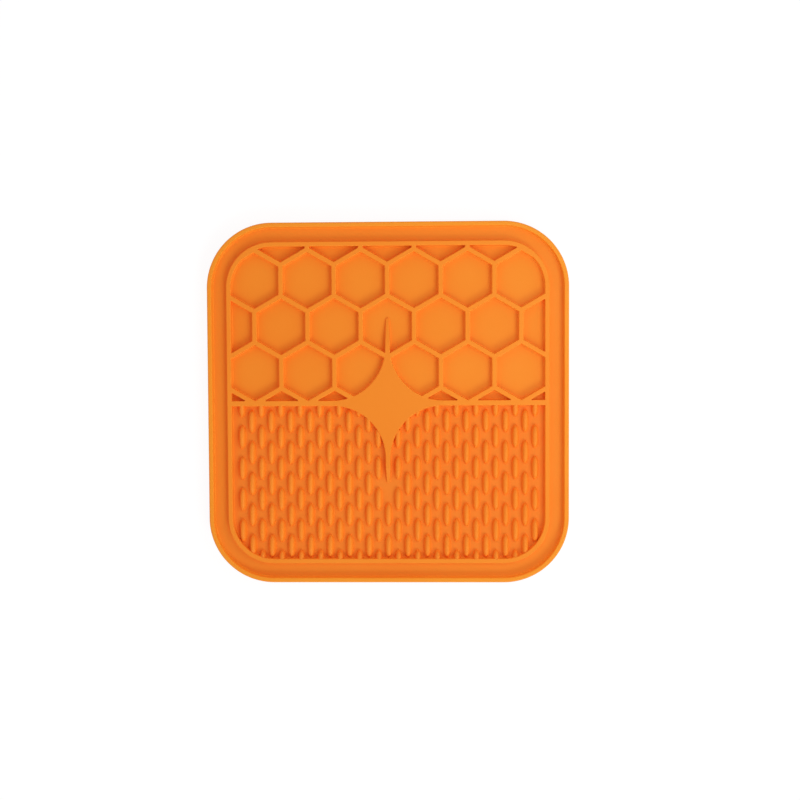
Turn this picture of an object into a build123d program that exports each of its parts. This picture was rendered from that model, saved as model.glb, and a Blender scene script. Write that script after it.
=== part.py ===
from build123d import *
import os
from math import atan2, ceil, cos, degrees, pi, radians, sqrt, tan

# Square silicone lick mat. Origin at the middle of the floor plane that the cup lips stand on,
# +Z up, +Y towards the honeycomb half. All sizes in millimetres, angles in degrees.

# Sheet
mat_side = 200.0  # outer side of the rounded square
corner_radius = 36.0  # outer corner of the square
sheet_thickness = 2.0
sheet_edge_bevel = 0.6  # bevel along the lower outer edge

# Outer rim, widths taken along the top
rim_width = 2.5
rim_height = 4.0  # above the sheet
rim_edge_radius = 0.9  # rounding of the outer top edge

# Catch channel and inner frame
channel_width = 8.2  # between the tops of rim and frame
frame_width = 2.4
rib_height = 3.5  # frame, honeycomb, divider and star, above the sheet
wall_draft = 4.0  # lean of every moulded wall

# Honeycomb half
cell_pitch = 29.5  # from one rib's middle to the next, across flats
cell_wall = 2.5  # rib between two cells

# Divider and star
divider_width = 2.8
star_arc_radius = 29.3  # the four hollow sides, which run smoothly into divider and spikes
spike_width = 2.6  # long vertical points, upper and lower
spike_upper_length = 16.6  # beyond the star's body
spike_lower_length = 13.8
spike_tip_width = 1.7
spike_tip_height = 0.7
spike_upper_slope_share = 0.85  # part of a spike's length that slopes down to its tip
spike_lower_slope_share = 0.6

# Licking ridges
ridge_length = 12.6  # along the foot
ridge_width = 3.9  # across the foot
ridge_height = 3.4  # a little lower than the ribs
ridge_crest_length = 7.6
ridge_crest_width = 1.5
ridge_column_pitch = 5.43
ridge_row_pitch = 8.73  # from one staggered row to the next
ridge_first_row = 1.35  # first row's middle, below the mat's middle line
ridge_end_share = 0.5  # bevelled corner of a ridge's end, as part of its half width
ridge_stub_share = 0.12  # a ridge that frame or star cuts down below this is left out

# Suction cups
cups_per_side = 4
cup_inset = 31.0  # mat edge to the middle of the outer cups
cup_diameter = 22.0
cup_height = 4.0  # floor to sheet
cup_lip_width = 1.0
cup_neck_diameter = 9.0
cup_sides = 20  # flat sides that a round cup is drawn with
cup_waist_radius_share = 0.4  # where the skirt turns up to the neck, between neck and lip
cup_crown_share = 0.3  # flat crown of the hollow, as part of its mouth
cup_height_shares = (0.12, 0.5, 0.75, 0.55)  # heights of lip, waist, neck's foot and hollow's crown

overrun = 1.0  # how far a cutting shape runs past what it cuts

# Values worked out from the sizes above
half_mat = mat_side / 2
sheet_top = cup_height + sheet_thickness
draft_slope = tan(radians(wall_draft))
frame_outer_half = half_mat - rim_width - channel_width
frame_outer_radius = corner_radius - rim_width - channel_width
frame_inner_half = frame_outer_half - frame_width
frame_inner_radius = frame_outer_radius - frame_width
star_side_reach = star_arc_radius + spike_width / 2  # where the divider starts
star_end_reach = star_arc_radius + divider_width / 2  # where the spikes start


def rounded_block(half_side, radius, top_z, height, flare):
    """A rounded square, sized at top_z and reaching down by height.

    flare 1 widens it downwards by the wall draft, -1 narrows it and 0 keeps its sides upright.
    """
    growth = flare * draft_slope * height
    foot = RectangleRounded(2 * (half_side + growth), 2 * (half_side + growth), radius + growth)
    return extrude(Pos(0, 0, top_z - height) * foot, height, taper=flare * wall_draft)


def frame_hollow(extra):
    """The space inside the frame, with drafted sides; extra lengthens it past the ribs' top and foot."""
    growth = draft_slope * extra
    top_z = sheet_top + rib_height + extra
    height = rib_height + 2 * extra
    return rounded_block(frame_inner_half + growth, frame_inner_radius + growth, top_z, height, -1)


def half_mat_block(side):
    """A block over the half of the mat above (1) or below (-1) its middle line."""
    block = Box(mat_side, half_mat, 2 * (rib_height + 2 * overrun))
    return Pos(0, side * half_mat / 2, sheet_top) * block


def drafted_bar(length, width):
    """A straight rib along X from the origin, with drafted sides and width taken at its top."""
    foot_half = width / 2 + draft_slope * rib_height
    section = Polyline(
        (-foot_half, 0), (foot_half, 0), (width / 2, rib_height), (-width / 2, rib_height), close=True
    )
    return extrude(Plane.YZ * make_face(section), length)


def make_base_sheet():
    outline = RectangleRounded(mat_side, mat_side, corner_radius)
    sheet = extrude(Pos(0, 0, cup_height) * outline, sheet_thickness)
    lower_edges = sheet.faces().sort_by(Axis.Z)[0].edges()
    return chamfer(lower_edges, min(sheet_edge_bevel, sheet_thickness / 2))


def make_outer_rim():
    top_z = sheet_top + rim_height
    ring = rounded_block(half_mat, corner_radius, top_z, rim_height, 0)
    top_edges = ring.faces().sort_by(Axis.Z)[-1].edges()
    ring = fillet(top_edges, min(rim_edge_radius, rim_width / 2, rim_height / 2))
    inner_half = half_mat - rim_width + draft_slope * overrun
    inner_radius = corner_radius - rim_width + draft_slope * overrun
    return ring - rounded_block(inner_half, inner_radius, top_z + overrun, rim_height + 2 * overrun, -1)


def make_frame_rib():
    ring = rounded_block(frame_outer_half, frame_outer_radius, sheet_top + rib_height, rib_height, 1)
    return ring - frame_hollow(overrun)


def make_spike(length, slope_share):
    """One long point along +X from the origin: a drafted bar, sloped and narrowed towards its tip."""
    slope_start = length * (1 - slope_share)
    side_view = Polyline(
        (0, 0),
        (length, 0),
        (length, spike_tip_height),
        (slope_start, rib_height),
        (0, rib_height),
        close=True,
    )
    foot_half = spike_width / 2 + draft_slope * rib_height
    top_view = Polyline(
        (0, -foot_half),
        (slope_start, -foot_half),
        (length, -spike_tip_width / 2),
        (length, spike_tip_width / 2),
        (slope_start, foot_half),
        (0, foot_half),
        close=True,
    )
    side_prism = extrude(Plane.XZ * make_face(side_view), foot_half, both=True)
    top_prism = extrude(make_face(top_view), rib_height)
    return drafted_bar(length, spike_width) & side_prism & top_prism


def make_star_boss():
    """A block with a drafted round hollow at each corner, carrying the upper and lower spike."""
    standing = (Align.CENTER, Align.CENTER, Align.MIN)
    body = Box(2 * star_side_reach, 2 * star_end_reach, rib_height, align=standing)
    hollow = Cone(
        star_arc_radius - draft_slope * (rib_height + overrun),
        star_arc_radius + draft_slope * overrun,
        rib_height + 2 * overrun,
        align=standing,
    )
    for place in GridLocations(2 * star_side_reach, 2 * star_end_reach, 2, 2):
        body -= Pos(0, 0, -overrun) * place * hollow
    upper_spike = make_spike(spike_upper_length, spike_upper_slope_share)
    lower_spike = make_spike(spike_lower_length, spike_lower_slope_share)
    upper = Pos(0, star_end_reach, 0) * Rot(0, 0, 90) * upper_spike
    lower = Pos(0, -star_end_reach, 0) * Rot(0, 0, -90) * lower_spike
    return Pos(0, 0, sheet_top) * (body + upper + lower)


def make_divider(side):
    """The straight rib from the star's side point to the frame; side is -1 on the left, 1 on the right."""
    bar = drafted_bar(frame_inner_half - star_side_reach + overrun, divider_width)
    turn = Rot(0, 0, 0) if side > 0 else Rot(0, 0, 180)
    bar = Pos(side * star_side_reach, 0, sheet_top) * turn * bar
    return bar & frame_hollow(overrun)


def make_honeycomb(star, dividers):
    """The upper half of the frame's space, pocketed by drafted hexagons that stand on their points."""
    row_pitch = cell_pitch * sqrt(3) / 2
    first_row = cell_pitch / sqrt(3)  # the lowest full row stands with its points on the middle line
    foot_apothem = (cell_pitch - cell_wall) / 2 - draft_slope * (rib_height + overrun)
    hexagon = RegularPolygon(foot_apothem, 6, major_radius=False, rotation=30)
    pocket = extrude(hexagon, rib_height + 2 * overrun, taper=-wall_draft)
    columns = ceil(frame_inner_half / cell_pitch) + 1
    rows = ceil(frame_inner_half / row_pitch) + 1
    pockets = []
    for row in range(-1, rows):
        shift = cell_pitch / 2 if row % 2 == 0 else 0
        for column in range(-columns, columns + 1):
            place = Pos(column * cell_pitch + shift, first_row + row * row_pitch, sheet_top - overrun)
            pockets.append(place * pocket)
    field = frame_hollow(0) & half_mat_block(1)
    return field - dividers - star - pockets


def ridge_section(width, length):
    """A long eight-sided face along Y, its end corners bevelled in proportion to its width."""
    half_width, half_length = width / 2, length / 2
    corner_x, corner_y = half_width * (1 - ridge_end_share), half_length - half_width
    outline = Polyline(
        (half_width, -corner_y),
        (half_width, corner_y),
        (corner_x, half_length),
        (-corner_x, half_length),
        (-half_width, corner_y),
        (-half_width, -corner_y),
        (-corner_x, -half_length),
        (corner_x, -half_length),
        close=True,
    )
    return make_face(outline)


def make_ridge():
    """One upright ridge along Y, like a grain of rice: the foot drawn in to a slimmer, shorter crest."""
    crest = Pos(0, 0, ridge_height) * ridge_section(ridge_crest_width, ridge_crest_length)
    return loft([ridge_section(ridge_width, ridge_length), crest], ruled=True)


def make_ridge_rows(star, dividers):
    """Staggered rows below the divider, cut where frame, divider or star stands in a ridge's way."""
    ridge = make_ridge()
    room = (frame_hollow(overrun) & half_mat_block(-1)) - dividers - star
    spike_tip = star_end_reach + spike_lower_length
    columns = int((frame_inner_half - ridge_width / 2) / ridge_column_pitch)
    row_count = int((frame_inner_half + ridge_length / 2 - ridge_first_row) / ridge_row_pitch) + 1
    rows = []
    for row in range(row_count):
        y = -(ridge_first_row + row * ridge_row_pitch)
        places = [c for c in range(-columns, columns + 1) if (c + row) % 2 == 1]
        if y + ridge_length / 2 > -spike_tip:  # the middle column starts clear of the spike
            places = [c for c in places if c != 0]
        ridges = [Pos(c * ridge_column_pitch, y, sheet_top) * ridge for c in places]
        kept = [s for r in ridges for s in (r & room).solids() if s.volume > ridge_stub_share * ridge.volume]
        if kept:
            rows.append(Compound(children=kept))
    return rows


def cup_slice(low_radius, low_z, high_radius, high_z):
    """A many-sided slice of a cone about the cup's axis, from one height to another."""
    flat = cos(pi / cup_sides)  # middle of a side, as part of the corner radius
    lean = degrees(atan2((low_radius - high_radius) * flat, high_z - low_z))
    return extrude(Pos(0, 0, low_z) * RegularPolygon(low_radius, cup_sides), high_z - low_z, taper=lean)


def make_cup():
    """A suction cup standing on its lip: flared skirt, hollow underneath, short neck up to the sheet."""
    lip_radius, neck_radius = cup_diameter / 2, cup_neck_diameter / 2
    waist_radius = neck_radius + (lip_radius - neck_radius) * cup_waist_radius_share
    lip_z, waist_z, neck_z, hollow_z = (cup_height * share for share in cup_height_shares)
    body = cup_slice(lip_radius, 0, lip_radius, lip_z)
    body += cup_slice(lip_radius, lip_z, waist_radius, waist_z)
    body += cup_slice(waist_radius, waist_z, neck_radius, neck_z)
    body += cup_slice(neck_radius, neck_z, neck_radius, cup_height)
    hollow_radius = lip_radius - cup_lip_width
    return body - cup_slice(hollow_radius, 0, hollow_radius * cup_crown_share, hollow_z)


def make_parts():
    star = make_star_boss()
    left, right = make_divider(-1), make_divider(1)
    parts = {
        "base_sheet": make_base_sheet(),
        "outer_rim": make_outer_rim(),
        "frame_rib": make_frame_rib(),
        "divider_left": left,
        "divider_right": right,
        "star_boss": star,
        "honeycomb_ribs": make_honeycomb(star, [left, right]),
    }
    for number, row in enumerate(make_ridge_rows(star, [left, right]), start=1):
        parts[f"ridge_row_{number:02d}"] = row
    cup = make_cup()
    cup_pitch = (mat_side - 2 * cup_inset) / (cups_per_side - 1)
    for row in range(cups_per_side):
        for column in range(cups_per_side):
            x, y = column * cup_pitch - half_mat + cup_inset, half_mat - cup_inset - row * cup_pitch
            parts[f"suction_cup_{row + 1}_{column + 1}"] = Pos(x, y, 0) * cup
    return parts


os.makedirs("parts", exist_ok=True)
for name, shape in make_parts().items():
    export_step(shape, f"parts/{name}.step")
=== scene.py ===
import math

import bmesh
import bpy
import numpy as np
from mathutils import Matrix, Vector
from mathutils.geometry import delaunay_2d_cdt


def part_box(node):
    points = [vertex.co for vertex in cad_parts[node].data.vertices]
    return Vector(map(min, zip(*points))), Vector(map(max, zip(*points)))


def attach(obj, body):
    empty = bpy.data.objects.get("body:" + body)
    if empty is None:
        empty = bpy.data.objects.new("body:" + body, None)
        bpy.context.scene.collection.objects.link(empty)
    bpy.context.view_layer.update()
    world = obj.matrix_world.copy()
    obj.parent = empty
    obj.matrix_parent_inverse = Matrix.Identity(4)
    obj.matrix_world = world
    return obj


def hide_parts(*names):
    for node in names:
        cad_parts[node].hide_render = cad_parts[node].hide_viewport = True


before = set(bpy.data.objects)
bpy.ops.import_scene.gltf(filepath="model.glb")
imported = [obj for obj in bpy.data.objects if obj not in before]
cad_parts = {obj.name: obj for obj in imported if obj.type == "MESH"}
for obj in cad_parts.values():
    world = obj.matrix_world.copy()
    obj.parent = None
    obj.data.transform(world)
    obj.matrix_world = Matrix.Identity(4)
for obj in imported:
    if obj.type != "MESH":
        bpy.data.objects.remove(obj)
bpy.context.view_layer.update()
print("frame loaded:", len(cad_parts), "nodes")

mm = 0.001  # shapes are worked out in millimetres and written in metres


def nodeSpan(node):
    # lowest and highest corner of a CAD node, in millimetres
    low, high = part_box(node)
    return np.array(low) / mm, np.array(high) / mm


sheetLow, sheetHigh = nodeSpan("base_sheet")
rimLow, rimHigh = nodeSpan("outer_rim")
ribHigh = nodeSpan("frame_rib")[1]

# what every moulded wall shares
moulding = {
    "floor": sheetHigh[2],  # top of the sheet, which all ribs stand on
    "ribTop": ribHigh[2],
    "draft": 4.0,  # lean of the walls, in degrees
    "topRadius": 0.32,  # rounding along the top edges
    "topShare": 0.4,  # and at most this part of a low wall's height
    "footRadius": 0.35,  # rounding where a wall meets the floor
    "footShare": 0.3,
    "arcSteps": 4,
    "guard": 0.04,  # short flat strip beside each rounding, which keeps the flats' shading flat
    "sink": 0.3,  # how far raised pieces reach into the sheet
    "seam": 0.004,  # one flush top lies this much under the next, so that none flicker
    "weld": 2e-4,  # points nearer than this become one
    "sharpAngle": 42.0,
}
moulding["lean"] = math.tan(math.radians(moulding["draft"]))
ribHeight = moulding["ribTop"] - moulding["floor"]


def wallProfile(height):
    # Section of a moulded wall, seen from its flat top: (offset, z) pairs for each given height.
    # Offset 0 is the top edge and grows outwards; z is above the floor. A quarter arc leads from the
    # flat into the leaning wall, and a second one runs out on the floor; the last point is sunk.
    height = np.atleast_1d(np.asarray(height, float))[:, None]
    top = np.minimum(moulding["topRadius"], moulding["topShare"] * height)
    foot = np.minimum(moulding["footRadius"], moulding["footShare"] * height)
    lean = math.atan(moulding["lean"])
    run = moulding["lean"] * height
    turn = np.linspace(0, np.pi / 2 - lean, moulding["arcSteps"] + 1)[None]
    rise = np.linspace(lean, np.pi / 2, moulding["arcSteps"] + 1)[None]
    guard = moulding["guard"]
    topArc = -top + top * np.sin(turn), height - top + top * np.cos(turn)
    footArc = run + foot - foot * np.cos(rise), foot - foot * np.sin(rise)
    offset = np.hstack([-top - guard, topArc[0], topArc[0][:, -1:] + guard * moulding["lean"],
                        footArc[0][:, :1] - guard * moulding["lean"], footArc[0], footArc[0][:, -1:]])
    z = np.hstack([height, topArc[1], topArc[1][:, -1:] - guard, footArc[1][:, :1] + guard,
                   footArc[1] + moulding["seam"], 0 * height - moulding["sink"]])
    return offset, z


def roundedSquare(half, radius, steps):
    # Closed path of points and outward normals, anticlockwise: four quarter turns of the normal
    # about the corner centres, which the straight sides join.
    turn = np.add.outer(np.arange(4) * np.pi / 2, np.linspace(0, np.pi / 2, steps + 1)).ravel()
    normals = np.stack([np.cos(turn), np.sin(turn)], 1)
    centres = np.repeat([[1, 1], [-1, 1], [-1, -1], [1, -1]], steps + 1, axis=0) * (half - radius)
    return centres + radius * normals, normals


def carry(path, normals, offset, z, mitres=None):
    # Profile carried along a path: point(u, v) = path(u) + offset(u, v) * normal(u), raised to z(u, v).
    # Where mitres are given, inward offsets follow these instead, which keeps corners together.
    inward = normals if mitres is None else mitres
    outwards, inwards = np.maximum(offset, 0)[..., None], np.minimum(offset, 0)[..., None]
    flat = path[:, None, :] + outwards * normals[:, None, :] + inwards * inward[:, None, :]
    return np.concatenate([flat, np.broadcast_to(z, flat.shape[:2])[..., None]], 2)


def gridFaces(rows, columns, closeRows=True, closeColumns=False):
    # Quads between neighbours of a rows x columns grid, wrapped round where it closes.
    u = np.arange(rows if closeRows else rows - 1)[:, None]
    v = np.arange(columns if closeColumns else columns - 1)[None]
    u2, v2 = (u + 1) % rows, (v + 1) % columns
    quads = np.stack([u * columns + v, u2 * columns + v, u2 * columns + v2, u * columns + v2], 2)
    return quads.reshape(-1, 4)


def addPiece(name, points, faces, node, material):
    # One object at the origin that stands for one CAD node. Points that meet are welded, and edges
    # sharper than the roundings' own steps shade as edges.
    mesh = bpy.data.meshes.new(name)
    mesh.from_pydata((points * mm).tolist(), [], [list(face) for face in faces])
    solid = bmesh.new()
    solid.from_mesh(mesh)
    bmesh.ops.remove_doubles(solid, verts=solid.verts, dist=moulding["weld"] * mm)
    solid.to_mesh(mesh)
    solid.free()
    mesh.polygons.foreach_set("use_smooth", np.ones(len(mesh.polygons), bool))
    mesh.set_sharp_from_angle(angle=math.radians(moulding["sharpAngle"]))
    mesh.materials.append(material)
    mesh.update()
    piece = bpy.data.objects.new(name, mesh)
    bpy.context.scene.collection.objects.link(piece)
    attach(piece, "root")
    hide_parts(node)


# Materials: one silicone, with the shared effects as node groups

def newGroup(name, inputs, outputs):
    # Empty shader group with named sockets, and its two end nodes.
    group = bpy.data.node_groups.new(name, "ShaderNodeTree")
    for label, kind, value in inputs:
        socket = group.interface.new_socket(name=label, in_out="INPUT", socket_type=kind)
        if value is not None:
            socket.default_value = value
    for label, kind in outputs:
        group.interface.new_socket(name=label, in_out="OUTPUT", socket_type=kind)
    return group, group.nodes.new("NodeGroupInput"), group.nodes.new("NodeGroupOutput")


def addNode(tree, kind, values=None, **settings):
    # New node with its settings, and with values set on its inputs by name or number.
    node = tree.nodes.new(kind)
    for key, value in settings.items():
        setattr(node, key, value)
    for key, value in (values or {}).items():
        node.inputs[key].default_value = value
    return node


def mouldGrainGroup():
    # Fine spark-eroded grain over slow waves: height = wave * wave height + grain, for the bump, and
    # the roughness goes from low to high with the wave.
    group, start, end = newGroup(
        "mouldGrain",
        [("Vector", "NodeSocketVector", None), ("Grain Scale", "NodeSocketFloat", 2600.0),
         ("Wave Scale", "NodeSocketFloat", 70.0), ("Wave Height", "NodeSocketFloat", 4.0),
         ("Roughness Low", "NodeSocketFloat", 0.5), ("Roughness High", "NodeSocketFloat", 0.62)],
        [("Height", "NodeSocketFloat"), ("Roughness", "NodeSocketFloat")])
    link = group.links.new
    grain = addNode(group, "ShaderNodeTexNoise", {"Detail": 3.0, "Roughness": 0.6})
    wave = addNode(group, "ShaderNodeTexNoise", {"Detail": 2.0, "Roughness": 0.5})
    for texture, scale in ((grain, "Grain Scale"), (wave, "Wave Scale")):
        link(start.outputs["Vector"], texture.inputs["Vector"])
        link(start.outputs[scale], texture.inputs["Scale"])
    height = addNode(group, "ShaderNodeMath", operation="MULTIPLY_ADD")
    link(wave.outputs["Fac"], height.inputs[0])
    link(start.outputs["Wave Height"], height.inputs[1])
    link(grain.outputs["Fac"], height.inputs[2])
    shine = addNode(group, "ShaderNodeMapRange", {"From Min": 0.3, "From Max": 0.7})
    link(wave.outputs["Fac"], shine.inputs["Value"])
    link(start.outputs["Roughness Low"], shine.inputs["To Min"])
    link(start.outputs["Roughness High"], shine.inputs["To Max"])
    link(height.outputs[0], end.inputs["Height"])
    link(shine.outputs["Result"], end.inputs["Roughness"])
    return group


def tintDriftGroup():
    # Slow clouds between two tints of the pigment.
    group, start, end = newGroup(
        "tintDrift",
        [("Vector", "NodeSocketVector", None), ("Scale", "NodeSocketFloat", 18.0),
         ("Tint", "NodeSocketColor", None), ("Deep Tint", "NodeSocketColor", None)],
        [("Color", "NodeSocketColor")])
    link = group.links.new
    cloud = addNode(group, "ShaderNodeTexNoise", {"Detail": 4.0, "Roughness": 0.55})
    spread = addNode(group, "ShaderNodeMapRange", {"From Min": 0.35, "From Max": 0.65})
    mix = addNode(group, "ShaderNodeMix", data_type="RGBA")
    link(start.outputs["Vector"], cloud.inputs["Vector"])
    link(start.outputs["Scale"], cloud.inputs["Scale"])
    link(cloud.outputs["Fac"], spread.inputs["Value"])
    link(spread.outputs["Result"], mix.inputs["Factor"])
    link(start.outputs["Tint"], mix.inputs["A"])
    link(start.outputs["Deep Tint"], mix.inputs["B"])
    link(mix.outputs["Result"], end.inputs["Color"])
    return group


def lintGroup():
    # Sparse specks of pale lint: round dots in a few of the cells of a cell pattern.
    group, start, end = newGroup(
        "lint",
        [("Vector", "NodeSocketVector", None), ("Cells per Metre", "NodeSocketFloat", 60.0),
         ("Speck Size", "NodeSocketFloat", 0.02), ("Share", "NodeSocketFloat", 0.03)],
        [("Mask", "NodeSocketFloat")])
    link = group.links.new
    cells = addNode(group, "ShaderNodeTexVoronoi")
    near = addNode(group, "ShaderNodeMath", operation="LESS_THAN")
    pick = addNode(group, "ShaderNodeSeparateColor")
    rare = addNode(group, "ShaderNodeMath", operation="LESS_THAN")
    both = addNode(group, "ShaderNodeMath", operation="MULTIPLY")
    link(start.outputs["Vector"], cells.inputs["Vector"])
    link(start.outputs["Cells per Metre"], cells.inputs["Scale"])
    link(cells.outputs["Distance"], near.inputs[0])
    link(start.outputs["Speck Size"], near.inputs[1])
    link(cells.outputs["Color"], pick.inputs["Color"])
    link(pick.outputs["Red"], rare.inputs[0])
    link(start.outputs["Share"], rare.inputs[1])
    link(near.outputs[0], both.inputs[0])
    link(rare.outputs[0], both.inputs[1])
    link(both.outputs[0], end.inputs["Mask"])
    return group


def paintedLightAndShadeZonesGroup():
    # Masks of the sheet's top face for painted light and shade: 1 in the channel round the frame, where
    # light is painted, and 1 in the ridge field below the middle line, where shade is painted. A place's
    # distance from the rounded square's core, length(max(|p| - core, 0)), tells on which side of the
    # frame it lies.
    group, start, end = newGroup(
        "paintedLightAndShadeZones",
        [("Vector", "NodeSocketVector", None), ("Core", "NodeSocketVector", None),
         ("Frame Inside", "NodeSocketFloat", 0.0), ("Frame Outside", "NodeSocketFloat", 1.0),
         ("Least Height", "NodeSocketFloat", 0.0)],
        [("Channel Painted Light", "NodeSocketFloat"), ("Ridge Field Painted Shade", "NodeSocketFloat")])
    link = group.links.new
    flat = addNode(group, "ShaderNodeVectorMath", {1: (1, 1, 0)}, operation="MULTIPLY")
    mirrored = addNode(group, "ShaderNodeVectorMath", operation="ABSOLUTE")
    past = addNode(group, "ShaderNodeVectorMath", operation="SUBTRACT")
    held = addNode(group, "ShaderNodeVectorMath", {1: (0, 0, 0)}, operation="MAXIMUM")
    distance = addNode(group, "ShaderNodeVectorMath", operation="LENGTH")
    channel = addNode(group, "ShaderNodeMapRange")
    parts = addNode(group, "ShaderNodeSeparateXYZ")
    below = addNode(group, "ShaderNodeMath", {1: 0.0}, operation="LESS_THAN")
    inside = addNode(group, "ShaderNodeMath", {0: 1.0}, operation="SUBTRACT")
    field = addNode(group, "ShaderNodeMath", operation="MULTIPLY")
    onTop = addNode(group, "ShaderNodeMath", operation="GREATER_THAN")
    topChannel = addNode(group, "ShaderNodeMath", operation="MULTIPLY")
    topField = addNode(group, "ShaderNodeMath", operation="MULTIPLY")
    link(start.outputs["Vector"], flat.inputs[0])
    link(flat.outputs["Vector"], mirrored.inputs[0])
    link(mirrored.outputs["Vector"], past.inputs[0])
    link(start.outputs["Core"], past.inputs[1])
    link(past.outputs["Vector"], held.inputs[0])
    link(held.outputs["Vector"], distance.inputs[0])
    link(distance.outputs["Value"], channel.inputs["Value"])
    link(start.outputs["Frame Inside"], channel.inputs["From Min"])
    link(start.outputs["Frame Outside"], channel.inputs["From Max"])
    link(start.outputs["Vector"], parts.inputs["Vector"])
    link(parts.outputs["Y"], below.inputs[0])
    link(channel.outputs["Result"], inside.inputs[1])
    link(inside.outputs[0], field.inputs[0])
    link(below.outputs[0], field.inputs[1])
    link(parts.outputs["Z"], onTop.inputs[0])
    link(start.outputs["Least Height"], onTop.inputs[1])
    for mask, kept, zone in ((channel.outputs["Result"], topChannel, "Channel Painted Light"),
                             (field.outputs[0], topField, "Ridge Field Painted Shade")):
        link(mask, kept.inputs[0])
        link(onTop.outputs[0], kept.inputs[1])
        link(kept.outputs[0], end.inputs[zone])
    return group


groups = {"grain": mouldGrainGroup(), "tint": tintDriftGroup(), "lint": lintGroup(),
          "zones": paintedLightAndShadeZonesGroup()}
print("node groups:", ", ".join(groups))

pigmentAndPaintedLight = {
    # tint and deeper tint of each part, which slow clouds mix; all parts are one silicone, so where a
    # part's tint differs from the body's it is painted light or shade
    "body": ((0.97, 0.280, 0.0195, 1), (0.965, 0.266, 0.0175, 1)),
    # the ridges' tint has less green than the body's: painted shade of the ridge field
    "ridges": ((0.97, 0.266, 0.0195, 1), (0.965, 0.253, 0.0175, 1)),
    # the rim's paler, yellower tint than the body's: painted light on the rim
    "rim": ((0.97, 0.318, 0.021, 1), (0.965, 0.304, 0.019, 1)),
    # the star's tint, darker than the body's: painted shade on the star
    "star": ((0.945, 0.262, 0.0175, 1), (0.94, 0.250, 0.0155, 1)),
    # what the sheet's tint is multiplied by in its zones: the channel's lighter tint is painted light,
    # the ridge field's darker tint is painted shade
    "channel": (1.005, 1.04, 1.2, 1),
    "ridgeFieldPaintedShade": (1.0, 0.923, 1.16, 1),
    "lint": (0.9, 0.62, 0.36, 1),
    "specularLevel": 0.28,
    "ior": 1.41,
}


def siliconeMaterial(name, tints, grainDepth, roughness, lintShare):
    # Matte pigmented silicone: clouded tint with a little lint, grain in the bump and the roughness.
    material = bpy.data.materials.new(name)
    material.use_nodes = True
    tree = material.node_tree
    link = tree.links.new
    shader = tree.nodes["Principled BSDF"]
    shader.inputs["IOR"].default_value = pigmentAndPaintedLight["ior"]
    shader.inputs["Specular IOR Level"].default_value = pigmentAndPaintedLight["specularLevel"]
    place = addNode(tree, "ShaderNodeTexCoord").outputs["Object"]
    grain, drift, lint = (addNode(tree, "ShaderNodeGroup", node_tree=groups[key])
                          for key in ("grain", "tint", "lint"))
    for group in (grain, drift, lint):
        link(place, group.inputs["Vector"])
    grain.inputs["Roughness Low"].default_value, grain.inputs["Roughness High"].default_value = roughness
    drift.inputs["Tint"].default_value, drift.inputs["Deep Tint"].default_value = pigmentAndPaintedLight[tints]
    lint.inputs["Share"].default_value = lintShare
    colour = addNode(tree, "ShaderNodeMix", {"B": pigmentAndPaintedLight["lint"]}, data_type="RGBA")
    link(lint.outputs["Mask"], colour.inputs["Factor"])
    link(drift.outputs["Color"], colour.inputs["A"])
    link(colour.outputs["Result"], shader.inputs["Base Color"])
    link(grain.outputs["Roughness"], shader.inputs["Roughness"])
    bump = addNode(tree, "ShaderNodeBump", {"Strength": 1.0, "Distance": grainDepth * mm})
    link(grain.outputs["Height"], bump.inputs["Height"])
    link(bump.outputs["Normal"], shader.inputs["Normal"])
    return material


# depth of the grain in millimetres, least and most roughness, and the share of cells that hold lint
finishValues = {
    "sheetSilicone": {"tints": "body", "grainDepth": 0.012, "roughness": (0.55, 0.66), "lintShare": 0.03},
    "rimSiliconePaintedLight": {"tints": "rim", "grainDepth": 0.010, "roughness": (0.48, 0.6), "lintShare": 0.02},
    "starSiliconePaintedShade": {"tints": "star", "grainDepth": 0.010, "roughness": (0.5, 0.6), "lintShare": 0.02},
    "ribSilicone": {"tints": "body", "grainDepth": 0.010, "roughness": (0.5, 0.6), "lintShare": 0.02},
    "ridgeSiliconePaintedShade": {"tints": "ridges", "grainDepth": 0.008, "roughness": (0.5, 0.6), "lintShare": 0.0},
    "cupSilicone": {"tints": "body", "grainDepth": 0.006, "roughness": (0.3, 0.4), "lintShare": 0.0},
}
finishes = {name: siliconeMaterial(name, **values) for name, values in finishValues.items()}
print("finishes:", ", ".join(finishes))


def paintLightAndShadeZones(material, core, inside, outside):
    # The sheet's base colour times the channel's tint, which is painted light, and the ridge field's
    # tint, which is painted shade, where the masks are 1.
    tree = material.node_tree
    link = tree.links.new
    socket = tree.nodes["Principled BSDF"].inputs["Base Color"]
    colour = socket.links[0].from_socket
    place = addNode(tree, "ShaderNodeTexCoord").outputs["Object"]
    zones = addNode(tree, "ShaderNodeGroup", {
        "Core": (core * mm, core * mm, 0), "Frame Inside": inside * mm, "Frame Outside": outside * mm,
        "Least Height": (sheetLow[2] + sheetHigh[2]) / 2 * mm}, node_tree=groups["zones"])
    link(place, zones.inputs["Vector"])
    for zone, tint in (("Channel Painted Light", "channel"), ("Ridge Field Painted Shade", "ridgeFieldPaintedShade")):
        mix = addNode(tree, "ShaderNodeMix", {"B": pigmentAndPaintedLight[tint]}, data_type="RGBA",
                      blend_type="MULTIPLY")
        link(zones.outputs[zone], mix.inputs["Factor"])
        link(colour, mix.inputs["A"])
        colour = mix.outputs["Result"]
    link(colour, socket)


# Sheet: flat plate with a bevelled lower edge
sheet = {
    "half": sheetHigh[0],
    "cornerRadius": 36.0,
    "bevel": 0.6,
    "cornerSteps": 28,
}


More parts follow.
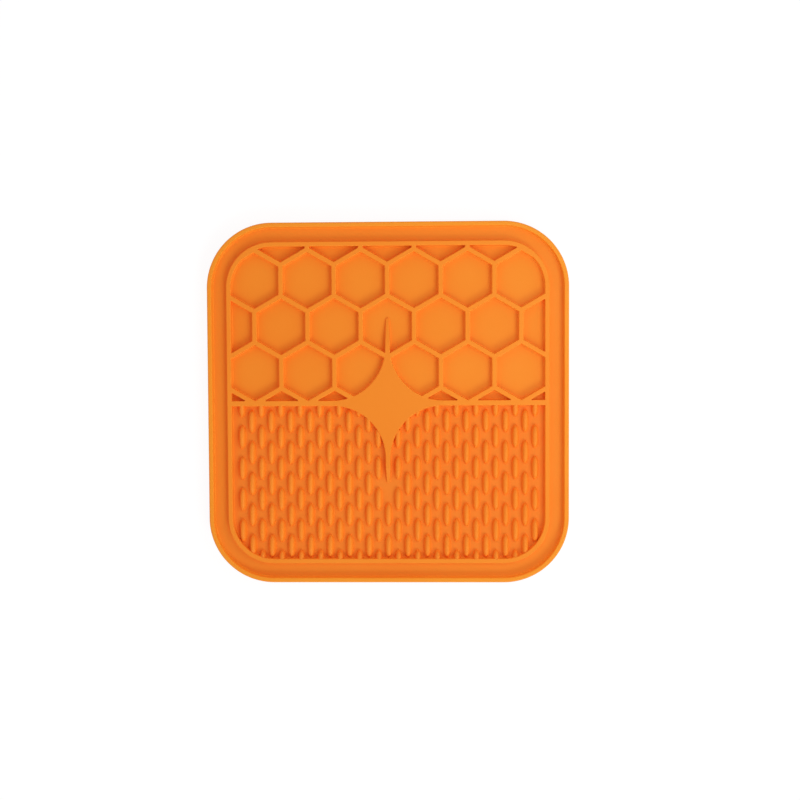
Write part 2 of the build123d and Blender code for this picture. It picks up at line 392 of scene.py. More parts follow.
def makeSheet():
    # Rings round the rounded square, from the bottom face up the bevel and the side to the top face.
    path, normals = roundedSquare(sheet["half"], sheet["cornerRadius"], sheet["cornerSteps"])
    bevel, guard = sheet["bevel"], moulding["guard"]
    bottom, top = sheetLow[2], sheetHigh[2]
    offset = np.array([-bevel - guard, -bevel, 0, 0, 0, 0, -guard])[None]
    z = np.array([bottom, bottom, bottom + bevel, bottom + bevel + guard, top - guard, top, top])[None]
    points = carry(path, normals, np.repeat(offset, len(path), 0), z)
    rows, columns = points.shape[:2]
    ring = np.arange(rows) * columns
    faces = gridFaces(rows, columns).tolist() + [ring[::-1].tolist(), (ring + columns - 1).tolist()]
    addPiece("matSheet", points.reshape(-1, 3), faces, "base_sheet", finishes["sheetSilicone"])


# Outer rim: round outer edge, leaning inner wall
rim = {
    "width": 2.5,
    "edgeRadius": 0.9,
    "edgeSteps": 6,
}


def makeRim():
    # Closed section carried round the mat: up the outer side, over the round edge and the flat top,
    # down the inner wall and back along the bottom.
    path, normals = roundedSquare(rimHigh[0], sheet["cornerRadius"], sheet["cornerSteps"])
    height = rimHigh[2] - rimLow[2]
    inner, innerZ = wallProfile(height)
    turn = np.linspace(0, np.pi / 2, rim["edgeSteps"] + 1)
    radius, guard = rim["edgeRadius"], moulding["guard"]
    outer = np.concatenate([[0, 0], radius * (np.cos(turn) - 1), [-radius - guard]])
    outerZ = np.concatenate([[0, height - radius - guard], height - radius + radius * np.sin(turn),
                             [height]])
    offset = np.concatenate([outer, -rim["width"] - inner[0, :-1], [-rim["width"] - inner[0, -1]]])[None]
    z = rimLow[2] + np.concatenate([outerZ, innerZ[0, :-1], [0]])[None]
    points = carry(path, normals, np.repeat(offset, len(path), 0), z)
    faces = gridFaces(*points.shape[:2], closeColumns=True)
    addPiece("outerRim", points.reshape(-1, 3), faces, "outer_rim", finishes["rimSiliconePaintedLight"])


# Inner frame: rib with two leaning sides
innerFrame = {
    "outerHalf": ribHigh[0] - moulding["lean"] * ribHeight,  # along the top edge
    "cornerRadius": 25.3,
    "width": 2.4,
}
innerFrame["innerHalf"] = innerFrame["outerHalf"] - innerFrame["width"]
innerFrame["innerRadius"] = innerFrame["cornerRadius"] - innerFrame["width"]


def makeFrame():
    # Closed section: the wall profile upwards on the outer side, then downwards on the inner side.
    path, normals = roundedSquare(innerFrame["outerHalf"], innerFrame["cornerRadius"],
                                  sheet["cornerSteps"])
    side, sideZ = wallProfile(ribHeight)
    offset = np.concatenate([side[0, ::-1], -innerFrame["width"] - side[0]])[None]
    z = moulding["floor"] + np.concatenate([sideZ[0, ::-1], sideZ[0]])[None]
    points = carry(path, normals, np.repeat(offset, len(path), 0), z)
    faces = gridFaces(*points.shape[:2], closeColumns=True)
    addPiece("innerFrame", points.reshape(-1, 3), faces, "frame_rib", finishes["ribSilicone"])


# painted light in the channel round the frame and painted shade in the ridge field, on the sheet's top
# face
paintLightAndShadeZones(finishes["sheetSilicone"], innerFrame["outerHalf"] - innerFrame["cornerRadius"],
          innerFrame["innerRadius"], innerFrame["cornerRadius"])


# Star: four hollow sides that run out into the divider and into two long spikes
star = {
    "arcRadius": 29.3,
    "dividerHalf": 1.4,
    "spikeHalf": 1.3,
    "tipHalf": 0.85,
    "upper": {"length": 16.6, "slopeShare": 0.85, "tipHeight": 0.7},
    "lower": {"length": 13.8, "slopeShare": 0.6, "tipHeight": 0.7},
    "arcSteps": 40,
    "spikeSteps": 14,
    "tipSteps": 8,
}
star["sideReach"] = star["arcRadius"] + star["spikeHalf"]  # where the divider takes over
star["endReach"] = star["arcRadius"] + star["dividerHalf"]  # where the spikes start


def starQuarter(spike):
    # Outline of one quarter, from the divider to the spike's tip: an arc about the far corner, the
    # spike's narrowing side and a round tip. Beside each point stands its foot on the star's axes.
    reach = star["endReach"] + spike["length"]
    slopeStart = star["endReach"] + spike["length"] * (1 - spike["slopeShare"])
    tipCentre = reach - star["tipHalf"]
    turn = np.linspace(1.5 * np.pi, np.pi, star["arcSteps"] + 1)
    radial = np.stack([np.cos(turn), np.sin(turn)], 1)
    arc = np.array([star["sideReach"], star["endReach"]]) + star["arcRadius"] * radial
    y = np.linspace(star["endReach"], tipCentre, star["spikeSteps"] + 1)[1:]
    narrow = np.clip((y - slopeStart) / (tipCentre - slopeStart), 0, 1)
    side = np.stack([star["spikeHalf"] + (star["tipHalf"] - star["spikeHalf"]) * narrow, y], 1)
    turn = np.linspace(0, np.pi / 2, star["tipSteps"] + 1)[1:]
    tipNormals = np.stack([np.cos(turn), np.sin(turn)], 1)
    tip = np.array([0, tipCentre]) + star["tipHalf"] * tipNormals
    outline = np.concatenate([arc, side, tip])
    normals = np.concatenate([-radial, np.repeat([[1.0, 0.0]], len(side), 0), tipNormals])
    onX = np.arange(len(outline)) < star["arcSteps"] // 2
    feet = np.where(onX[:, None], outline * [1, 0], outline * [0, 1])
    feet[-star["tipSteps"]:] = [0, tipCentre]
    fall = (spike["tipHeight"] - ribHeight) / (reach - slopeStart)
    heights, crown = (ribHeight + fall * np.clip(part[:, 1] - slopeStart, 0, None)
                      for part in (outline, feet))
    return outline, normals, feet, heights, crown


def makeStar():
    # Per quarter a grid from the feet on the axes over the flat top, the edge and the wall down to the
    # sunk foot, and back under to the axes. Mirrored quarters meet on the axes, and two faces close the
    # middle.
    points, faces, count = [], [], 0
    bottom = -moulding["sink"]
    for signY, spike in ((1, star["upper"]), (-1, star["lower"])):
        outline, normals, feet, heights, crown = starQuarter(spike)
        skin = carry(outline, normals, *wallProfile(heights))
        above = np.concatenate([feet, crown[:, None]], 1)[:, None]
        below = np.concatenate([feet, np.full((len(feet), 1), bottom)], 1)[:, None]
        grid = np.concatenate([above, skin, below], 1)
        quads = gridFaces(*grid.shape[:2], closeRows=False)
        end = np.arange(grid.shape[1])[None]  # closes the quarter where the divider takes over
        for signX in (1, -1):
            step = -1 if signX * signY > 0 else 1  # a mirrored quarter winds the other way
            points.append((grid * [signX, signY, 1]).reshape(-1, 3))
            faces += (quads[:, ::step] + count).tolist() + (end[:, ::step] + count).tolist()
            count += len(points[-1])
    innerX, innerY = feet[star["arcSteps"] // 2 - 1, 0], feet[star["arcSteps"] // 2, 1]
    middle = np.array([[innerX, 0], [0, innerY], [-innerX, 0], [0, -innerY]])
    for z, step in ((ribHeight, 1), (bottom, -1)):
        points.append(np.concatenate([middle, np.full((4, 1), z)], 1))
        faces.append((np.arange(4)[::step] + count).tolist())
        count += 4
    points = np.concatenate(points) + [0, 0, moulding["floor"]]
    addPiece("starBoss", points, faces, "star_boss", finishes["starSiliconePaintedShade"])


# Divider: straight ribs from the star's side points to the frame
divider = {
    "intoStar": 1.5,
    "intoFrame": 1.2,
}


def makeDivider(name, side, node):
    # The rib's closed section carried along a straight line, with both ends closed.
    near = star["sideReach"] - divider["intoStar"]
    far = innerFrame["innerHalf"] + divider["intoFrame"]
    ends = np.sort([side * near, side * far])[::-1]
    path = np.stack([ends, [0, 0]], 1)
    normals = np.array([[0.0, 1.0], [0.0, 1.0]])
    wall, wallZ = wallProfile(ribHeight - moulding["seam"])
    offset = np.concatenate([star["dividerHalf"] + wall[0, ::-1], -star["dividerHalf"] - wall[0]])[None]
    z = moulding["floor"] + np.concatenate([wallZ[0, ::-1], wallZ[0]])[None]
    points = carry(path, normals, np.repeat(offset, 2, 0), z)
    columns = points.shape[1]
    caps = [np.arange(columns).tolist(), (np.arange(columns) + columns)[::-1].tolist()]
    faces = gridFaces(2, columns, closeRows=False, closeColumns=True).tolist() + caps
    addPiece(name, points.reshape(-1, 3), faces, node, finishes["ribSilicone"])


# Honeycomb: pockets between the frame, the divider and the star
honeycomb = {
    "pitch": 29.5,  # from one rib's middle to the next, across flats
    "wall": 2.5,
    "rows": (-1, 0, 1, 2, 3),  # row 0 stands with its points on the middle line
    "columns": 3,  # each way
    "cornerRadius": 0.25,  # of a pocket, along the top
    "cornerSteps": 3,
    "curveSteps": 24,  # along frame corners and star sides
    "skin": 0.05,  # pocket walls stand this far before the frame's, divider's and star's own
    "bite": 0.9,  # how far the flat top reaches into those pieces
    "notch": 4.2,  # the top stops this far short of the spike's root
    "leastRoom": 0.7,  # a pocket has points this far from all its walls
    "leastPoints": 4,  # and more than this many of the search grid's
    "searchReach": 0.6,  # of the pitch, each way from a cell's middle
    "searchSteps": 121,
    "rays": 2881,  # that look for the sides round a pocket
    "halvings": 48,  # that find a corner between two rays
    "parallel": 1e-9,  # a ray that turns less than this towards a line never meets it
    "turnSlack": 1e-6,  # a corner that turns back by less than this counts as straight
    "fillSlack": 1e-7,
}


def pocketSides(middle, cell, angles, inset, standsFree):
    # Distances from middle, along rays at the given angles, to each side of a pocket drawn in by inset,
    # and the sides' outward normals: six hexagon sides, then the frame, then divider and star.
    ray = np.stack([np.cos(angles), np.sin(angles)], 1)
    far = np.full(len(angles), np.inf)

    def toLine(normal, reach):
        # the ray meets the line at (reach - middle * normal) / (ray * normal)
        towards = ray @ normal
        meets = towards > honeycomb["parallel"]
        return np.where(meets, (reach - middle @ normal) / np.where(meets, towards, 1), far)

    def toCircle(centre, radius):
        # the ray leaves the circle at -b + sqrt(b^2 - c)
        arm = middle - centre
        b = ray @ arm
        distance = -b + np.sqrt(np.maximum(b * b - arm @ arm + radius * radius, 0))
        hit = middle + distance[:, None] * ray
        return distance, hit, (hit - centre) / radius

    distances, normals = [], []
    reach = (honeycomb["pitch"] - honeycomb["wall"]) / 2 - inset
    for turn in np.arange(6) * np.pi / 3:
        normal = np.array([np.cos(turn), np.sin(turn)])
        distances.append(toLine(normal, reach + cell @ normal))
        normals.append(np.repeat(normal[None], len(angles), 0))
    # frame: straight sides, or the corner's arc where the ray ends in a corner
    half = innerFrame["innerHalf"] - honeycomb["skin"] - inset
    axes = np.array([[1.0, 0.0], [0.0, 1.0], [-1.0, 0.0]])
    straight = np.stack([toLine(axis, half) for axis in axes])
    nearest = straight.argmin(0)
    straight, straightNormal = straight.min(0), axes[nearest]
    corner = innerFrame["innerHalf"] - innerFrame["innerRadius"]
    arm = np.array([math.copysign(corner, cell[0]), corner])
    arc, hit, arcNormal = toCircle(arm, innerFrame["innerRadius"] - honeycomb["skin"] - inset)
    inCorner = (np.abs(hit[:, 0]) > corner) & (hit[:, 1] > corner) & (hit[:, 0] * arm[0] > 0)
    distances.append(np.where(inCorner, arc, straight))
    normals.append(np.where(inCorner[:, None], arcNormal, straightNormal))
    # divider, or the star's hollow side where the ray ends beside the star
    down = np.array([0.0, -1.0])
    low = toLine(down, -star["dividerHalf"] - honeycomb["skin"] - inset)
    arm = np.array([math.copysign(star["sideReach"], cell[0]), star["endReach"]])
    arc, hit, arcNormal = toCircle(arm, star["arcRadius"] - honeycomb["skin"] - inset)
    byStar = (np.abs(hit[:, 0]) < star["sideReach"]) & (hit[:, 1] < star["endReach"]) & (not standsFree)
    distances.append(np.where(byStar, arc, low))
    normals.append(np.where(byStar[:, None], arcNormal, down))
    return np.stack(distances), np.stack(normals)


def pocketMiddle(cell, standsFree):
    # Mean of the points of a fine square grid that lie well inside the pocket, or None if hardly any do.
    far = honeycomb["pitch"] * honeycomb["searchReach"]
    steps = np.linspace(-far, far, honeycomb["searchSteps"])
    x, y = (part.ravel() for part in np.meshgrid(cell[0] + steps, cell[1] + steps))
    inset = honeycomb["leastRoom"]
    reach = (honeycomb["pitch"] - honeycomb["wall"]) / 2 - inset
    turns = np.arange(6)[:, None] * np.pi / 3
    room = (reach - (x - cell[0]) * np.cos(turns) - (y - cell[1]) * np.sin(turns)).min(0)
    corner = innerFrame["innerHalf"] - innerFrame["innerRadius"]
    outX, outY = np.abs(x) - corner, y - corner
    edge = np.hypot(np.maximum(outX, 0), np.maximum(outY, 0)) + np.minimum(np.maximum(outX, outY), 0)
    room = np.minimum(room, innerFrame["innerRadius"] - inset - edge)
    room = np.minimum(room, y - star["dividerHalf"] - inset)
    if not standsFree:
        outwards = np.hypot(np.abs(x) - star["sideReach"], y - star["endReach"])
        hollow = star["arcRadius"] - inset - outwards
        beside = (np.abs(x) < star["sideReach"]) & (y < star["endReach"])
        room = np.where(beside, np.minimum(room, hollow), room)
    inside = room > 0
    if inside.sum() <= honeycomb["leastPoints"]:
        return None
    return np.array([x[inside].mean(), y[inside].mean()])


def pocketPath(cell):
    # Closed path of base points, outward normals and mitres of one pocket: the sides nearest along each
    # ray, cut at the angles where the nearest side changes, with the normal swept round at every corner.
    # A corner's mitre is (n1 + n2) / (1 + n1 * n2), which moves both its sides by one; along a side the
    # mitre is the normal plus a slide that runs evenly from one corner's to the next one's.
    standsFree = abs(cell[0]) < honeycomb["pitch"] / 4 and cell[1] > star["endReach"]
    middle = pocketMiddle(cell, standsFree)
    if middle is None:
        return None

    def sides(angles):
        return pocketSides(middle, cell, angles, honeycomb["cornerRadius"], standsFree)

    angles = np.linspace(0, 2 * np.pi, honeycomb["rays"])
    nearest = sides(angles)[0].argmin(0)
    change = np.flatnonzero(nearest[1:] != nearest[:-1])
    low, high, before, after = angles[change], angles[change + 1], nearest[change], nearest[change + 1]
    pick = np.arange(len(change))
    for _ in range(honeycomb["halvings"]):
        centre = (low + high) / 2
        distance = sides(centre)[0]
        passed = distance[after, pick] < distance[before, pick]
        low, high = np.where(passed, low, centre), np.where(passed, centre, high)
    corners = (low + high) / 2
    base, normals = [], []
    for k, side in enumerate(after):
        last = (k + 1) % len(corners)
        stop = corners[last] + (2 * np.pi if last <= k else 0)
        along = np.linspace(corners[k], stop, 2 if side < 6 else honeycomb["curveSteps"] + 1)
        distance, normal = (part[side] for part in sides(along))
        base.append(middle + distance[:, None] * np.stack([np.cos(along), np.sin(along)], 1))
        normals.append(normal)
    path, turned, ends = [], [], []
    for k in range(len(base)):
        nextNormal = normals[(k + 1) % len(base)][0]
        ends.append((normals[k][-1] + nextNormal) / (1 + normals[k][-1] @ nextNormal))
        first = math.atan2(normals[k][-1, 1], normals[k][-1, 0])
        sweep = math.atan2(nextNormal[1], nextNormal[0]) - first + honeycomb["turnSlack"]
        sweep = sweep % (2 * np.pi) - honeycomb["turnSlack"]
        steps = honeycomb["cornerSteps"]
        bend = first + sweep * np.arange(1, steps + 1) / (steps + 1)
        path += [base[k], np.repeat(base[k][-1:], len(bend), 0)]
        turned += [normals[k], np.stack([np.cos(bend), np.sin(bend)], 1)]
    mitres = []
    for k in range(len(base)):
        tangents = normals[k][:, ::-1] * [-1, 1]
        share = np.append(0, np.cumsum(np.hypot(*np.diff(base[k], axis=0).T)))
        slides = np.interp(share, share[[0, -1]], [ends[k - 1] @ tangents[0], ends[k] @ tangents[-1]])
        mitres += [normals[k] + slides[:, None] * tangents,
                   np.repeat(ends[k][None], honeycomb["cornerSteps"], 0)]
    return np.concatenate(path), np.concatenate(turned), np.concatenate(mitres)


def fillBetween(outer, holes):
    # Flat triangles inside the outer loop and outside all holes, as indices into the joined points.
    loops = [outer, *holes]
    starts = np.cumsum([0] + [len(loop) for loop in loops])
    rings = [list(range(a, b)) for a, b in zip(starts[:-1], starts[1:])]
    flat = [tuple(p) for p in np.concatenate(loops)]
    filled = delaunay_2d_cdt(flat, [], rings, 1, honeycomb["fillSlack"])
    _, _, faces, fromPoints, _, fromRings = filled
    return [[fromPoints[i][0] for i in face]
            for face, ring in zip(faces, fromRings) if list(ring) == [0]]


def honeycombEdge():
    # Closed loop where the flat top ends: inside the frame, under the divider and round the star's body.
    bite = honeycomb["bite"]
    half, radius = innerFrame["innerHalf"] + bite, innerFrame["innerRadius"] + bite
    square, _ = roundedSquare(half, radius, sheet["cornerSteps"])
    upper = square[square[:, 1] > 0]
    low = star["dividerHalf"] - bite
    stop = -math.asin(honeycomb["notch"] / (star["arcRadius"] + bite))
    turn = np.linspace(-np.pi / 2, stop, star["arcSteps"] + 1)
    notch = np.stack([np.cos(turn), np.sin(turn)], 1) * (star["arcRadius"] + bite)
    left = notch + [-star["sideReach"], star["endReach"]]
    right = left[::-1] * [-1, 1]
    return np.concatenate([[[half, low]], upper, [[-half, low]], left, right])


def makeHoneycomb():
    # Each pocket is the wall profile carried round its path; flat fills close the top and the bottom
    # between the pockets, and a skirt closes the edge.
    pitch, height = honeycomb["pitch"], ribHeight - 2 * moulding["seam"]
    offset, z = wallProfile(height)
    points, faces, rings, count = [], [], [], 0
    for row in honeycomb["rows"]:
        for column in range(-honeycomb["columns"] - 1, honeycomb["columns"] + 1):
            shift = 0.5 if row % 2 == 0 else 0.0
            cell = np.array([(column + shift) * pitch,
                             pitch / math.sqrt(3) + row * pitch * math.sqrt(3) / 2])
            found = pocketPath(cell)
            if found is None:
                continue
            path, normals, mitres = found
            inset = np.repeat(honeycomb["cornerRadius"] - offset, len(path), 0)
            pocket = carry(path, normals, inset, z, mitres)
            faces += (gridFaces(*pocket.shape[:2]) + count).tolist()
            points.append(pocket.reshape(-1, 3))
            rings.append(pocket[:, [0, -1], :2])
            count += len(points[-1])
    edge = honeycombEdge()
    for k, level, step in ((0, height, 1), (1, -moulding["sink"], -1)):
        holes = [ring[:, k] for ring in rings]
        faces += [[i + count for i in face[::step]] for face in fillBetween(edge, holes)]
        flat = np.concatenate([edge, *holes])
        points.append(np.concatenate([flat, np.full((len(flat), 1), level)], 1))
        count += len(flat)
    skirt = np.stack([np.concatenate([edge, np.full((len(edge), 1), level)], 1)
                      for level in (-moulding["sink"], height)], 1)
    faces += (gridFaces(*skirt.shape[:2]) + count).tolist()
    points = np.concatenate(points + [skirt.reshape(-1, 3)]) + [0, 0, moulding["floor"]]
    print("honeycomb pockets:", len(rings))
    addPiece("honeycombRibs", points, faces, "honeycomb_ribs", finishes["ribSilicone"])


# Licking ridges: staggered rows of one small shape
ridge = {
    "halfLength": 6.65,
    "halfWidth": 2.0,
    "height": 3.5,
    "arch": 2.1,  # power of the curve that the crest falls along towards the ends
    "endStretch": 2.2,  # an end is this much longer than half as wide
    "columnPitch": 5.43,
    "rowPitch": 8.73,
    "firstRow": 1.35,  # below the middle line
    "columns": 15,  # each way
    "rows": 11,
    "endSteps": 5,
    # inset of the sides and height, from the floor to the crest
    "profile": ((-0.12, -0.1), (0.0, 0.08), (0.4, 1.4), (0.75, 2.5), (1.2, 3.25), (1.6, 3.48)),
    "stub": 1.4,  # a ridge that shows less than this is left out
    "bury": 0.9,  # how far a cut ridge reaches into what cuts it
    "underDivider": 0.3,  # but no nearer to the middle line than this
    "squeeze": 0.01,  # what lies past a cut is pressed together to this share
}


def ridgeShape():
    # A grain of rice: level rings with straight sides and half ellipses for ends. A ring at height z is
    # half length * (1 - (z / height) ^ arch) ^ (1 / arch) long each way, and half width - inset wide.
    turn = np.linspace(0, np.pi, ridge["endSteps"] + 1)
    turn = np.concatenate([turn, turn + np.pi])[:, None]
    ends = np.repeat([[1.0], [-1.0]], ridge["endSteps"] + 1, axis=0)
    inset, z = np.array(ridge["profile"]).T
    width = ridge["halfWidth"] - inset
    rise = np.clip(z / ridge["height"], 0, 1)
    arched = ridge["halfLength"] * (1 - rise ** ridge["arch"]) ** (1 / ridge["arch"])
    endLength = width * ridge["endStretch"]
    length = np.maximum(arched - np.minimum(inset, 0), endLength)
    x = width * np.cos(turn)
    y = ends * (length - endLength) + endLength * np.sin(turn)
    return np.stack([x, y, np.broadcast_to(z, x.shape)], 2)


def makeRidgeRow(row):
    # Copies of the ridge along one row, each held between the star or divider above and the frame below.
    columns = np.arange(-ridge["columns"], ridge["columns"] + 1)
    y = -(ridge["firstRow"] + row * ridge["rowPitch"])
    high, low = y + ridge["halfLength"], y - ridge["halfLength"]
    columns = columns[(columns + row) % 2 == 1]
    spikeTip = star["endReach"] + star["lower"]["length"]
    columns = columns[(columns != 0) | (high < -spikeTip)]
    x = columns * ridge["columnPitch"]
    # lowest y of the star's or divider's side, and of the frame's inner side, at each column
    reach = np.clip(np.abs(x), None, star["sideReach"])
    hollow = star["arcRadius"] ** 2 - (star["sideReach"] - reach) ** 2
    upper = -(star["endReach"] - np.sqrt(np.maximum(hollow, 0)))
    corner = innerFrame["innerHalf"] - innerFrame["innerRadius"]
    past = np.clip(np.abs(x) - corner, 0, None)
    lower = -corner - np.sqrt(innerFrame["innerRadius"] ** 2 - past ** 2)
    buried = -corner - np.sqrt((innerFrame["innerRadius"] + ridge["bury"]) ** 2 - past ** 2)
    shows = np.minimum(high, upper) - np.maximum(low, lower) > ridge["stub"]
    x, upper, buried = x[shows], upper[shows], buried[shows]
    shape = ridgeShape()
    places = np.stack([x, np.full(len(x), y), np.full(len(x), moulding["floor"])], 1)
    points = shape[None] + places[:, None, None]
    top = np.minimum(upper + ridge["bury"], -ridge["underDivider"])[:, None, None]
    cut = np.clip(points[..., 1], buried[:, None, None], top)
    points[..., 1] = cut + ridge["squeeze"] * (points[..., 1] - cut)
    around, rings = shape.shape[:2]
    one = gridFaces(around, rings)
    crest = np.arange(around) * rings + rings - 1
    foot = (np.arange(around) * rings)[::-1]
    step = np.arange(len(x)) * around * rings
    faces = (one[None] + step[:, None, None]).reshape(-1, 4).tolist()
    faces += (crest[None] + step[:, None]).tolist() + (foot[None] + step[:, None]).tolist()
    name = f"{row + 1:02d}"
    addPiece("ridgeRow" + name, points.reshape(-1, 3), faces, "ridge_row_" + name,
             finishes["ridgeSiliconePaintedShade"])


# Suction cups under the sheet
cup = {
    "perSide": 4,
    "turns": 40,
    "lipRadius": 11.0,
    "lipWidth": 1.0,
    "lipHeight": 0.45,
    "lipRound": 0.18,  # rounding of the lip's outer edge, as part of its width
    "neckRadius": 4.5,
    "neckFoot": 3.0,
    "neckStep": 0.1,  # short upright strip above the neck's foot
    "hollow": 2.25,
    "flare": 1.15,
    "steps": 8,
}


def makeCup(name, node):
    # Profile (radius, z) turned about the cup's axis: hollow dome, lip, flared skirt and neck.
    low, high = nodeSpan(node)
    middle = (low + high) / 2
    along = np.linspace(0, 1, cup["steps"] + 1)
    mouth = cup["lipRadius"] - cup["lipWidth"]
    domeR = mouth * along[1:]
    domeZ = cup["hollow"] * (1 - along[1:] ** 2)
    skirtR = cup["neckRadius"] + (cup["lipRadius"] - cup["neckRadius"]) * (1 - along) ** cup["flare"]
    skirtZ = cup["lipHeight"] + (cup["neckFoot"] - cup["lipHeight"]) * along
    edge = cup["lipRound"] * cup["lipWidth"]
    radius = np.concatenate([domeR, [cup["lipRadius"] - edge, cup["lipRadius"]], skirtR,
                             [cup["neckRadius"]] * 2])
    z = np.concatenate([domeZ, [0, edge], skirtZ,
                        [cup["neckFoot"] + cup["neckStep"], high[2] + moulding["sink"]]])
    turn = np.linspace(0, 2 * np.pi, cup["turns"], endpoint=False)
    ring = np.stack([np.cos(turn), np.sin(turn)], 1)
    axis = np.repeat(middle[None, :2], len(turn), 0)
    points = carry(axis, ring, np.repeat(radius[None], len(turn), 0), z[None])
    rows, columns = points.shape[:2]
    start = np.arange(rows) * columns
    faces = gridFaces(rows, columns).tolist() + [(start + columns - 1).tolist()]
    crown = len(points.reshape(-1, 3))
    faces += np.stack([np.full(rows, crown), np.roll(start, -1), start], 1).tolist()
    points = np.concatenate([points.reshape(-1, 3), [[middle[0], middle[1], cup["hollow"]]]])
    addPiece(name, points, faces, node, finishes["cupSilicone"])


for make in (makeSheet, makeRim, makeFrame, makeStar, makeHoneycomb):
    make()
makeDivider("dividerLeft", -1, "divider_left")
makeDivider("dividerRight", 1, "divider_right")
print("sheet, rim, frame, star, honeycomb and divider made")
for row in range(ridge["rows"]):
    makeRidgeRow(row)
print("ridge rows made:", ridge["rows"])
for row in range(1, cup["perSide"] + 1):
    for column in range(1, cup["perSide"] + 1):
        makeCup(f"suctionCup{row}{column}", f"suction_cup_{row}_{column}")
print("suction cups made:", cup["perSide"] ** 2)

# Camera
camera = {
    "distance": 700.0,
    "tilt": 2.685,
    "sideways": 1.763,
    "roll": 0.238,
    "focalPixels": 1247.0,
    "centrePixels": (388.31, 402.40),
    "imagePixels": 800,
    "sensor": 36.0,
    "clip": (0.01, 20.0),  # nearest and farthest that it sees, in metres
}


def makeCamera():
    # Looks down on the mat from a little past its middle, to the far side and to the right, with a
    # slight roll.
    data = bpy.data.cameras.new("photoCamera")
    data.sensor_width = camera["sensor"]
    data.lens = camera["focalPixels"] * camera["sensor"] / camera["imagePixels"]
    middle = camera["imagePixels"] / 2
    data.shift_x = (middle - camera["centrePixels"][0]) / camera["imagePixels"]
    data.shift_y = (camera["centrePixels"][1] - middle) / camera["imagePixels"]
    data.clip_start, data.clip_end = camera["clip"]
    turn = Matrix.Rotation(math.radians(-camera["tilt"]), 4, "X")
    turn = turn @ Matrix.Rotation(math.radians(camera["sideways"]), 4, "Y")
    turn = turn @ Matrix.Rotation(math.radians(-camera["roll"]), 4, "Z")
    eye = bpy.data.objects.new("photoCamera", data)
    eye.matrix_world = turn @ Matrix.Translation((0, 0, camera["distance"] * mm))
    bpy.context.scene.collection.objects.link(eye)
    bpy.context.scene.camera = eye


makeCamera()
print("camera set")

# Studio: pale floor, light all round that is stronger at the sides than above, a soft lamp low in front
# on the right and a weak one near on the right. The lamps are a little cool and the light from above is
# a little warm, so that they make white together on the flats and shadows keep the pigment's warmth.
studio = {
    "floorHalf": 3.0,
    "floorDrop": 5e-5,  # the floor lies this much under the cups' lips
    "floorTint": (0.85, 0.85, 0.85, 1),
    "floorGlow": 1.08,
    "floorGlowShare": 0.84,  # of what the camera sees of the floor; the rest keeps the shadow
    "sideSky": (0.94, 0.91, 0.91, 1),
    "topSky": (0.43, 0.30, 0.30, 1),
    "sideEnds": 0.45,  # heights on the unit dome between which the one goes over into the other
    "topStarts": 0.85,
    # where each lamp stands as seen from above, its elevation, distance, size, power and tint
    "lamps": {
        "softLamp": {"towards": (0.5, -0.866), "elevation": 39.0, "distance": 2.4, "size": 0.95,
                     "power": 17.5, "tint": (0.75, 1.0, 1.0)},
        "fillLamp": {"towards": (0.985, 0.17), "elevation": 54.0, "distance": 0.32, "size": 0.22,
                     "power": 0.25, "tint": (0.75, 1.0, 1.0)},
    },
}


def backgroundRays(tree):
    # 1 for rays that show the background: from the camera, off gloss and through glass.
    rays = addNode(tree, "ShaderNodeLightPath")
    gloss = addNode(tree, "ShaderNodeMath", operation="MAXIMUM")
    seen = addNode(tree, "ShaderNodeMath", operation="MAXIMUM")
    tree.links.new(rays.outputs["Is Camera Ray"], gloss.inputs[0])
    tree.links.new(rays.outputs["Is Glossy Ray"], gloss.inputs[1])
    tree.links.new(gloss.outputs[0], seen.inputs[0])
    tree.links.new(rays.outputs["Is Transmission Ray"], seen.inputs[1])
    return seen.outputs[0]


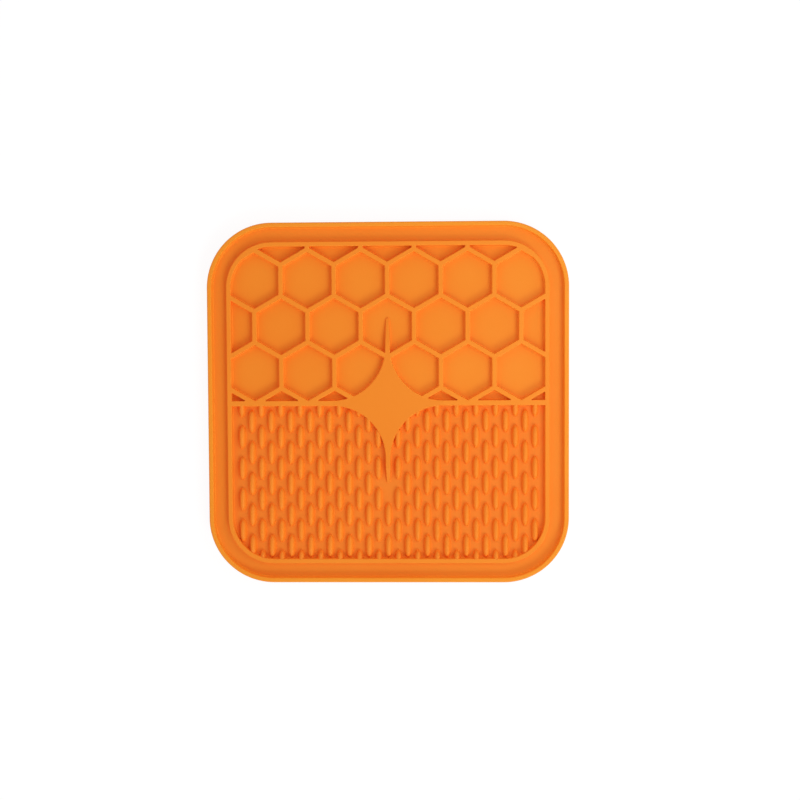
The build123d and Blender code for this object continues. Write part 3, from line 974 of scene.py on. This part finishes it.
def makeFloor():
    # Pale floor that keeps the mat's shadow; for the camera it is mostly a white glow.
    half, z = studio["floorHalf"], -studio["floorDrop"]
    mesh = bpy.data.meshes.new("studioFloor")
    corners = [(-half, -half, z), (half, -half, z), (half, half, z), (-half, half, z)]
    mesh.from_pydata(corners, [], [(0, 1, 2, 3)])
    material = bpy.data.materials.new("studioFloor")
    material.use_nodes = True
    tree = material.node_tree
    tree.nodes.clear()
    link = tree.links.new
    matte = addNode(tree, "ShaderNodeBsdfDiffuse", {"Color": studio["floorTint"]})
    glow = addNode(tree, "ShaderNodeEmission", {"Color": (1, 1, 1, 1), "Strength": studio["floorGlow"]})
    share = addNode(tree, "ShaderNodeMath", {1: studio["floorGlowShare"]}, operation="MULTIPLY")
    mix = addNode(tree, "ShaderNodeMixShader")
    end = addNode(tree, "ShaderNodeOutputMaterial")
    link(backgroundRays(tree), share.inputs[0])
    link(share.outputs[0], mix.inputs["Fac"])
    link(matte.outputs[0], mix.inputs[1])
    link(glow.outputs[0], mix.inputs[2])
    link(mix.outputs[0], end.inputs["Surface"])
    mesh.materials.append(material)
    ground = bpy.data.objects.new("studioFloor", mesh)
    bpy.context.scene.collection.objects.link(ground)


def makeLights():
    # World light by height on the dome, white where it is seen, and round soft lamps that face the
    # middle: tint = side + (top - side) * (height - sideEnds) / (topStarts - sideEnds), held between the
    # two.
    world = bpy.data.worlds.new("studioWorld")
    bpy.context.scene.world = world
    world.use_nodes = True
    tree = world.node_tree
    sky = tree.nodes["Background"]
    seen = backgroundRays(tree)
    height = addNode(tree, "ShaderNodeSeparateXYZ")
    share = addNode(tree, "ShaderNodeMapRange",
                    {"From Min": studio["sideEnds"], "From Max": studio["topStarts"]})
    dome = addNode(tree, "ShaderNodeMix", {"A": studio["sideSky"], "B": studio["topSky"]},
                   data_type="RGBA")
    tone = addNode(tree, "ShaderNodeMix", {"B": (1, 1, 1, 1)}, data_type="RGBA")
    link = tree.links.new
    link(addNode(tree, "ShaderNodeTexCoord").outputs["Generated"], height.inputs["Vector"])
    link(height.outputs["Z"], share.inputs["Value"])
    link(share.outputs["Result"], dome.inputs["Factor"])
    link(dome.outputs["Result"], tone.inputs["A"])
    link(seen, tone.inputs["Factor"])
    link(tone.outputs["Result"], sky.inputs["Color"])
    for name, values in studio["lamps"].items():
        rise = math.radians(values["elevation"])
        across = (math.cos(rise) * part for part in values["towards"])
        towards = Vector((*across, math.sin(rise))).normalized()
        lamp = bpy.data.lights.new(name, "AREA")
        lamp.shape = "DISK"
        lamp.size = values["size"]
        lamp.energy = values["power"]
        lamp.color = values["tint"]
        holder = bpy.data.objects.new(name, lamp)
        facing = towards.to_track_quat("Z", "Y").to_matrix().to_4x4()
        holder.matrix_world = Matrix.Translation(towards * values["distance"]) @ facing
        holder.visible_camera = False
        bpy.context.scene.collection.objects.link(holder)


makeFloor()
makeLights()
bpy.context.scene.view_settings.view_transform = "Standard"
print("studio set")
